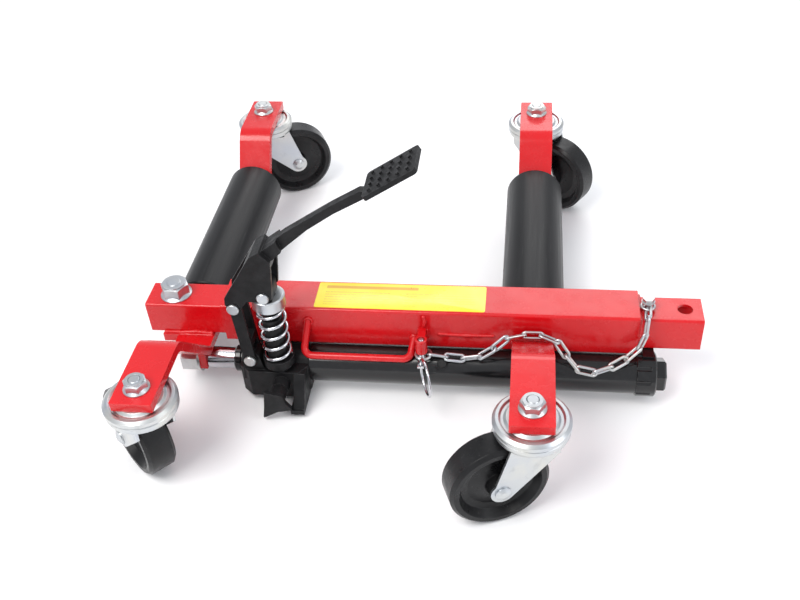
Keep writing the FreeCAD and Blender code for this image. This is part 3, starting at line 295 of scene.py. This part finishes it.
def black_gloss():
    paint = Paint("black_enamel", DEEP_BLACK, 0.18)
    paint.set("Coat Weight", 0.3)
    paint.set("Specular IOR Level", 0.36)
    paint.set("Coat Roughness", 0.06)
    dust = paint.level(paint.noise(140, 5, 0.65), 0.52, 0.78)
    paint.colour(paint.mix(paint.sum("MULTIPLY", dust, 0.22), DEEP_BLACK, DUST))
    paint.roughness(paint.level(paint.noise(45, 6, 0.6), 0.3, 0.75, 0.11, 0.30))
    paint.round_edges(0.0007)
    paint.bump(paint.noise(300, 2, 0.4), 0.00004)
    return paint.done()


def black_cast():
    paint = Paint("black_casting", BLACK, 0.5)
    paint.set("Specular IOR Level", 0.20)
    worn = paint.sum("MULTIPLY", paint.edges(0.0009, 0.86, 0.99),
                     paint.level(paint.noise(190, 5), 0.4, 0.62))
    mottled = paint.mix(paint.level(paint.noise(70, 6, 0.6), 0.35, 0.7), DARK_MOTTLE,
                        PALE_MOTTLE)
    paint.colour(paint.mix(paint.sum("MULTIPLY", worn, 0.55), mottled, WORN_IRON))
    paint.roughness(paint.level(paint.noise(120, 5), 0.3, 0.7, 0.34, 0.58))
    paint.round_edges(0.0009)
    paint.bump(paint.noise(650, 3, 0.6), 0.00012)
    paint.bump(paint.noise(110, 3), 0.00030)
    return paint.done()


def zinc_plate():
    paint = Paint("zinc_plate", ZINC, 0.3, 1.0)
    cast = paint.level(paint.noise(26, 4, 0.55, distortion=0.6), 0.32, 0.68)
    tint = paint.mix(cast, BLUE_ZINC, YELLOW_ZINC)
    stain = paint.level(paint.noise(85, 6, 0.62), 0.56, 0.74)
    paint.colour(paint.mix(paint.sum("MULTIPLY", stain, 0.35), tint, STAINED_ZINC))
    brushed = paint.noise(1.0, 5, 0.6, paint.stretched((40, 40, 900)))
    paint.roughness(paint.sum("ADD", paint.level(brushed, 0.3, 0.7, 0.29, 0.42),
                              paint.level(stain, 0.0, 1.0, 0.0, 0.12)))
    paint.round_edges(0.0006)
    paint.bump(brushed, 0.00003)
    paint.bump(paint.noise(60, 3), 0.00012)
    return paint.done()


def bright_metal(name, colour, smooth, rough):
    """Bare or plated metal; its roughness runs from smooth to rough with the haze."""
    paint = Paint(name, colour, smooth, 1.0)
    haze = paint.noise(150, 6, 0.62)
    dulled = tuple(0.8 * part for part in colour)
    paint.colour(paint.mix(paint.level(haze, 0.45, 0.8), colour, dulled))
    paint.roughness(paint.level(haze, 0.35, 0.75, smooth, rough))
    paint.round_edges(0.0004)
    paint.bump(paint.noise(1.0, 3, 0.5, paint.stretched((1200, 90, 90))), 0.00001)
    return paint.done()


def wheel_plastic():
    paint = Paint("wheel_plastic", BLACK, 0.36)
    paint.set("Specular IOR Level", 0.28)
    scuffs = paint.level(paint.noise(210, 6, 0.7), 0.60, 0.72)
    grey = paint.level(paint.noise(32, 4), 0.40, 0.72)
    base = paint.mix(grey, DARK_MOTTLE, PALE_MOTTLE)
    paint.colour(paint.mix(paint.sum("MULTIPLY", scuffs, 0.20), base, SCUFF))
    paint.roughness(paint.level(paint.noise(75, 6, 0.6), 0.3, 0.7, 0.22, 0.46))
    paint.round_edges(0.0010)
    paint.bump(paint.noise(520, 3, 0.5), 0.00006)
    paint.bump(paint.noise(36, 2), 0.0003)
    return paint.done()


def plain_plastic(name, colour, roughness):
    paint = Paint(name, colour, roughness)
    paint.colour(paint.mix(paint.noise(160, 4), colour, tuple(1.6 * part for part in colour)))
    paint.bump(paint.noise(500, 3), 0.00005)
    return paint.done()


def label_print(low, high):
    """Yellow film with a band and rows of plain bars, laid out across the label."""
    paint = Paint("label_film", YELLOW, 0.34)
    paint.set("Coat Weight", 0.4)
    paint.set("Coat Roughness", 0.18)
    parts = paint.node("ShaderNodeSeparateXYZ")
    paint.feed(parts.inputs[0], paint.coords)
    x, y = parts.outputs["X"], parts.outputs["Y"]
    long = high.x - low.x
    wide = high.y - low.y

    def within(source, start, end):
        return paint.sum("MULTIPLY", paint.sum("GREATER_THAN", source, start),
                         paint.sum("LESS_THAN", source, end))

    def row_of_bars(start, end):
        lines = paint.sum("MULTIPLY", y, 1 / LINE_PITCH)
        rows = paint.sum("GREATER_THAN", paint.sum("FRACT", lines, 0), 0.60)
        words = paint.noise(1.0, 1, 0.5, paint.stretched((520, 950, 0)))
        column = within(x, low.x + start * long, low.x + end * long)
        marks = paint.sum("MULTIPLY", rows, paint.level(words, 0.40, 0.46))
        return paint.sum("MULTIPLY", column, marks)

    body = within(y, low.y + 0.12 * wide, low.y + 0.70 * wide)
    bars = paint.sum("MAXIMUM", row_of_bars(0.05, 0.44), row_of_bars(0.52, 0.94))
    bars = paint.sum("MULTIPLY", bars, body)
    head = paint.sum("MULTIPLY", within(y, low.y + 0.77 * wide, low.y + 0.88 * wide),
                     within(x, low.x + 0.05 * long, low.x + 0.60 * long))
    faded = paint.mix(paint.level(paint.noise(40, 4), 0.35, 0.7), FILM_YELLOW, FADED_YELLOW)
    inked = paint.mix(paint.sum("MULTIPLY", bars, 0.42), faded, BAR_INK)
    paint.colour(paint.mix(paint.sum("MULTIPLY", head, 0.55), inked, BAND_INK))
    paint.roughness(paint.level(paint.noise(90, 5), 0.3, 0.7, 0.26, 0.44))
    paint.bump(paint.noise(120, 4), 0.00006)
    return paint.done()


def floor_finish():
    paint = Paint("floor_finish", FLOOR, 0.6)
    paint.colour(paint.mix(paint.noise(3, 5), FLOOR_SHADE, FLOOR_LIGHT))
    paint.roughness(paint.level(paint.noise(14, 5), 0.3, 0.7, 0.55, 0.68))
    paint.bump(paint.noise(240, 4), 0.00005)
    return paint.done()


MATERIALS = {
    "red_paint": red_paint("red_powder_coat"),
    "roller_paint": roller_paint(),
    "black_gloss": black_gloss(),
    "black_cast": black_cast(),
    "zinc": zinc_plate(),
    "chrome": bright_metal("chrome_plate", CHROME, 0.12, 0.25),
    "nylon": plain_plastic("nylon_black", NYLON, 0.5),
    "bare_steel": bright_metal("turned_steel", STEEL, 0.22, 0.38),
    "wheel_plastic": wheel_plastic(),
}
WELD = red_paint("red_weld", 0.00025)


# ---- mesh helpers -------------------------------------------------------------------------

SHARP_SKIN, SHARP_BEAD, SHARP_THREAD, SHARP_CAD = 40, 75, 25, 28    # degrees
BEAD_STEP, BEAD_SIDES = 0.35 * MM, 10
RIPPLE_TURN, RIPPLE_DEPTH = 0.62, 0.10      # radians a step, share of the radius
WANDER_SCALE, WANDER_DEPTH = 260, 0.16
RING_SIDES = 28
THREAD_SIDES, THREAD_ROWS_A_TURN = 40, 10
CREST = 0.06 * MM                           # how far a thread stands out from the bolt
THREAD_CHAMFER = 1.1 * MM

def piece(name, mesh, body, material):
    """A visible piece that rides a body."""
    item = bpy.data.objects.new(name, mesh)
    scene.collection.objects.link(item)
    mesh.materials.append(material)
    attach(item, body)
    return item


def grid_mesh(name, rings, wrap_rings=False, sharp=SHARP_SKIN):
    """A skin through closed rings of points, capped unless the last ring joins the first."""
    mesh = bpy.data.meshes.new(name)
    shape = bmesh.new()
    rows = [[shape.verts.new(point) for point in ring] for ring in rings]
    count = len(rows[0])
    last = len(rows) if wrap_rings else len(rows) - 1
    for index in range(last):
        here, there = rows[index], rows[(index + 1) % len(rows)]
        for step in range(count):
            after = (step + 1) % count
            shape.faces.new((here[step], here[after], there[after], there[step]))
    if not wrap_rings:
        shape.faces.new(list(reversed(rows[0])))
        shape.faces.new(rows[-1])
    bmesh.ops.recalc_face_normals(shape, faces=shape.faces)
    shape.to_mesh(mesh)
    shape.free()
    mesh.shade_smooth()
    mesh.set_sharp_from_angle(angle=math.radians(sharp))
    return mesh


def run_of(points, step, closed):
    """The points of a path, spaced evenly along it."""
    path = [Vector(point) for point in points]
    if closed:
        path.append(path[0])
    result = []
    for start, end in zip(path, path[1:]):
        parts = max(1, round((end - start).length / step))
        result += [start.lerp(end, index / parts) for index in range(parts)]
    if not closed:
        result.append(path[-1])
    return result


def bead(name, points, body, radius, closed=False):
    """A rippled weld bead along a path; the ends of an open one are tapered."""
    spots = run_of(points, BEAD_STEP, closed)
    count = len(spots)
    rings = []
    for index, spot in enumerate(spots):
        before = spots[index - 1] if (index or closed) else spots[0]
        after = spots[(index + 1) % count] if (index < count - 1 or closed) else spots[-1]
        along = (after - before).normalized()
        upright = abs(along.z) > 0.9
        side = (along.orthogonal() if upright else along.cross(Vector((0, 0, 1)))).normalized()
        lift = along.cross(side)
        wander = noise.noise(spot * WANDER_SCALE)
        ripple = 1 + RIPPLE_DEPTH * abs(math.sin(index * RIPPLE_TURN)) + WANDER_DEPTH * wander
        end = 1.0 if closed else min(1.0, 0.45 + 0.16 * min(index, count - 1 - index))
        size = radius * ripple * end
        rings.append([spot + (side * math.cos(turn) + lift * math.sin(turn)) * size
                      for turn in (math.tau * step / BEAD_SIDES for step in range(BEAD_SIDES))])
    mesh = grid_mesh(name, rings, wrap_rings=closed, sharp=SHARP_BEAD)
    piece(name, mesh, body, WELD)


def ring_points(centre, radius):
    """Points round a centre, in a plane that faces along Y."""
    axis = Vector((0, 1, 0))
    side = axis.orthogonal().normalized()
    lift = axis.cross(side)
    return [Vector(centre) + (side * math.cos(turn) + lift * math.sin(turn)) * radius
            for turn in (math.tau * step / RING_SIDES for step in range(RING_SIDES))]


def thread(name, foot, radius, length, pitch, body):
    """A screw thread standing on a foot point, along +Z, with a chamfered end."""
    steps = int(length / pitch * THREAD_ROWS_A_TURN)
    depth = 0.60 * pitch
    rings = []
    for row in range(steps + 1):
        height = length * row / steps
        ring = []
        for step in range(THREAD_SIDES):
            phase = (height / pitch - step / THREAD_SIDES) % 1
            groove = depth * abs(2 * phase - 1)
            limit = radius + CREST - max(0.0, height - (length - THREAD_CHAMFER))
            size = min(radius + CREST - groove * 0.8, limit)
            turn = math.tau * step / THREAD_SIDES
            outward = Vector((math.cos(turn) * size, math.sin(turn) * size, height))
            ring.append(Vector(foot) + outward)
        rings.append(ring)
    mesh = grid_mesh(name, rings, sharp=SHARP_THREAD)
    piece(name, mesh, body, MATERIALS["zinc"])


# ---- the CAD pieces' finish ---------------------------------------------------------------

for row in frame["record"]["subparts"]:
    node = frame["nodes"][row["node"]]
    node.data.materials.clear()
    node.data.materials.append(MATERIALS[row["material_slot"]])
    node.data.shade_smooth()
    node.data.set_sharp_from_angle(angle=math.radians(SHARP_CAD))


# ---- label --------------------------------------------------------------------------------

rail_low, rail_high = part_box("outer_tube")
rail_y = (rail_low.y + rail_high.y) / 2
LABEL_FROM, LABEL_TO, LABEL_HALF = 104 * MM, 290 * MM, 21.5 * MM
LABEL_CORNER, CORNER_STEPS, CORNER_STEP = 2.5 * MM, 7, 15       # degrees a step
LABEL_SKIN = ((0, 0.02), (0, 0.22), (0.35, 0.30))               # inset and height in mm


def add_label():
    """A thin film on the rail's top face, with rounded corners and a bevelled edge."""
    low = Vector((rail_low.x + LABEL_FROM, rail_y - LABEL_HALF, rail_high.z))
    high = Vector((rail_low.x + LABEL_TO, rail_y + LABEL_HALF, rail_high.z))
    corner = LABEL_CORNER
    left, right = low.x + corner, high.x - corner
    front, back = low.y + corner, high.y - corner
    outline = []
    for cx, cy, start in ((right, back, 0), (left, back, 90),
                          (left, front, 180), (right, front, 270)):
        for step in range(CORNER_STEPS):
            turn = math.radians(start + CORNER_STEP * step)
            outline.append(Vector((cx + corner * math.cos(turn), cy + corner * math.sin(turn), 0)))
    heart = (low + high) / 2
    rings = []
    for inset, height in LABEL_SKIN:
        ring = []
        for point in outline:
            inward = Vector((heart.x - point.x, heart.y - point.y, 0)).normalized()
            ring.append(Vector((point.x, point.y, rail_high.z + height * MM)) + inward * inset * MM)
        rings.append(ring)
    mesh = grid_mesh("rail_label", rings)
    piece("rail_label", mesh, "fixed_frame", label_print(low, high))


add_label()


# ---- welds --------------------------------------------------------------------------------

RIGHT_ROOT_TOP = 70 * MM        # heights above the floor
HANDLE_RIGHT_ROOT = 68 * MM
RUN_START, RUN_MIDDLE, RUN_END = 75.5 * MM, 74.5 * MM, 75 * MM

bar_low, bar_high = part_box("front_bracket_right")


def add_shaft_welds(side, body, tube):
    """Rings round a roller's shaft, at the rail and at the rear bracket."""
    shaft_low, shaft_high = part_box("roller_shaft_" + side)
    middle = (shaft_low + shaft_high) / 2
    radius = (shaft_high.x - shaft_low.x) / 2
    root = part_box(tube)[1].y
    bead("weld_shaft_root_" + side,
         ring_points((middle.x, root + 0.8 * MM, middle.z), radius + 0.4 * MM),
         body, radius=1.3 * MM, closed=True)
    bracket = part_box("rear_bracket_" + side)[0].y
    bead("weld_shaft_tip_" + side,
         ring_points((middle.x, bracket - 0.4 * MM, middle.z + 2 * MM), radius - 2.5 * MM),
         body, radius=1.5 * MM, closed=True)


def add_fixed_frame_welds():
    """Beads round the right front bracket's root."""
    face = rail_low.y
    top = RIGHT_ROOT_TOP + 1.2 * MM
    bead("weld_front_right_top",
         [(bar_low.x, face - 1.0 * MM, top), (bar_high.x, face - 1.0 * MM, top)],
         "fixed_frame", radius=2.4 * MM)
    for tag, x in (("a", bar_low.x - 0.4 * MM), ("b", bar_high.x + 0.4 * MM)):
        bead("weld_front_right_side_" + tag,
             [(x, face - 0.8 * MM, RIGHT_ROOT_TOP), (x, face - 0.8 * MM, bar_low.z)],
             "fixed_frame", radius=1.9 * MM)


def add_slide_frame_welds():
    """Beads along the inner tube's lower front edge."""
    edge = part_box("inner_tube")[0]
    hanger_low, hanger_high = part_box("rod_hanger")
    bead("weld_hanger",
         [(hanger_low.x + 1 * MM, edge.y - 0.8 * MM, edge.z + 0.8 * MM),
          (hanger_high.x - 1 * MM, edge.y - 0.8 * MM, edge.z + 0.8 * MM)],
         "slide_frame", radius=2.0 * MM)
    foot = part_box("front_bracket_left")[1].x
    bead("weld_bracket_left",
         [(foot - 41 * MM, edge.y - 1.5 * MM, edge.z + 0.9 * MM),
          (foot - 22 * MM, edge.y - 1.0 * MM, edge.z + 2.2 * MM),
          (foot - 1 * MM, edge.y - 1.5 * MM, edge.z + 0.9 * MM)],
         "slide_frame", radius=2.6 * MM)
    bead("weld_bracket_left_edge",
         [(foot - 41 * MM, edge.y - 4.0 * MM, edge.z + 0.2 * MM),
          (foot - 1 * MM, edge.y - 4.0 * MM, edge.z + 0.2 * MM)],
         "slide_frame", radius=1.7 * MM)


def add_fitting_welds():
    """Beads at the handle, the pin's socket and the rail's seam."""
    face = rail_low.y
    loop_low, loop_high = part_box("carry_handle")
    bead("weld_handle_left",
         ring_points((loop_low.x + 8 * MM, face - 0.6 * MM, loop_high.z - 5 * MM), 4.4 * MM),
         "fixed_frame", radius=1.3 * MM, closed=True)
    bead("weld_handle_right",
         ring_points((loop_high.x - 4 * MM, face - 0.6 * MM, HANDLE_RIGHT_ROOT), 4.4 * MM),
         "fixed_frame", radius=1.3 * MM, closed=True)
    seat_low, seat_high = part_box("pin_socket")
    seat_x = (seat_low.x + seat_high.x) / 2
    for tag, shift in (("a", -4.8), ("b", 4.8)):
        bead("weld_socket_" + tag,
             [(seat_x + shift * MM, face - 0.7 * MM, seat_low.z + 1 * MM),
              (seat_x + shift * MM, face - 0.7 * MM, seat_high.z - 1 * MM)],
             "fixed_frame", radius=1.5 * MM)
    bead("weld_seam",
         [(seat_x + 1 * MM, face - 0.2 * MM, seat_high.z + 2 * MM),
          (seat_x + 2.5 * MM, face - 0.2 * MM, rail_high.z - 12 * MM),
          (seat_x + 1 * MM, face - 0.2 * MM, rail_high.z - 4 * MM)],
         "fixed_frame", radius=2.3 * MM)
    bead("weld_run",
         [(seat_x + 16 * MM, face + 0.1 * MM, RUN_START),
          (seat_x + 40 * MM, face + 0.1 * MM, RUN_MIDDLE),
          (bar_low.x - 19 * MM, face + 0.1 * MM, RUN_END)],
         "fixed_frame", radius=1.8 * MM)


add_shaft_welds("left", "slide_frame", "inner_tube")
add_shaft_welds("right", "fixed_frame", "outer_tube")
add_fixed_frame_welds()
add_slide_frame_welds()
add_fitting_welds()


# ---- threads ------------------------------------------------------------------------------

CASTER_BOLT, ANCHOR_BOLT = 6 * MM, 8 * MM       # radii


def add_threads():
    """The threaded ends that stand above the lock nuts."""
    for side, body in (("left", "slide_frame"), ("right", "fixed_frame")):
        nut_low, nut_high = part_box("caster_nuts_" + side)
        bolt_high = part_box("caster_bolts_" + side)[1]
        x = (nut_low.x + nut_high.x) / 2
        half = (nut_high.x - nut_low.x) / 2
        for end, y in (("front", nut_low.y + half), ("rear", nut_high.y - half)):
            thread(f"thread_{end}_{side}", (x, y, nut_high.z - 1 * MM), CASTER_BOLT,
                   bolt_high.z - nut_high.z + 1.2 * MM, 1.5 * MM, body)
    low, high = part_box("anchor_bolt")
    foot = ((low.x + high.x) / 2, (low.y + high.y) / 2, high.z - 1.2 * MM)
    thread("thread_anchor", foot, ANCHOR_BOLT, 1.7 * MM, 1.9 * MM, "slide_frame")


add_threads()


# ---- return spring ------------------------------------------------------------------------

SPRING_WIRE, SPRING_SIDES = 2 * MM, 14         # radius of the wire, and its sides
SPRING_TURNS, CLOSED_TURNS, SPRING_ROWS = 6.5, 0.6, 520


def add_spring():
    """The return spring's coil with closed ends.

    The plunger's whole stroke is 24.23 mm.
    """
    low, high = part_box("return_spring")
    middle = (low + high) / 2
    wire = SPRING_WIRE
    radius = (high.x - low.x) / 2 - wire
    rings = []
    for row in range(SPRING_ROWS + 1):
        turned = SPRING_TURNS * row / SPRING_ROWS
        climb = min(1, max(0, (turned - CLOSED_TURNS) / (SPRING_TURNS - 2 * CLOSED_TURNS)))
        height = low.z + wire + climb * (high.z - low.z - 2 * wire)
        outward = Vector((math.cos(math.tau * turned), math.sin(math.tau * turned), 0))
        spot = Vector((middle.x, middle.y, height)) + outward * radius
        rings.append([spot + outward * (wire * math.cos(lap)) + Vector((0, 0, wire * math.sin(lap)))
                      for lap in (math.tau * step / SPRING_SIDES for step in range(SPRING_SIDES))])
    mesh = grid_mesh("return_spring_coil", rings)
    coil = piece("return_spring_coil", mesh, "fixed_frame", MATERIALS["chrome"])
    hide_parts("return_spring")
    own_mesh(coil)


add_spring()


# ---- floor --------------------------------------------------------------------------------

FLOOR_REACH = 4.0


def add_floor():
    """The plain pale floor, which isn't part of the object."""
    mesh = bpy.data.meshes.new("floor")
    reach = FLOOR_REACH
    corners = [(-reach, -reach, 0), (reach, -reach, 0), (reach, reach, 0), (-reach, reach, 0)]
    mesh.from_pydata(corners, [], [(0, 1, 2, 3)])
    mesh.materials.append(floor_finish())
    floor = bpy.data.objects.new("floor", mesh)
    scene.collection.objects.link(floor)


add_floor()
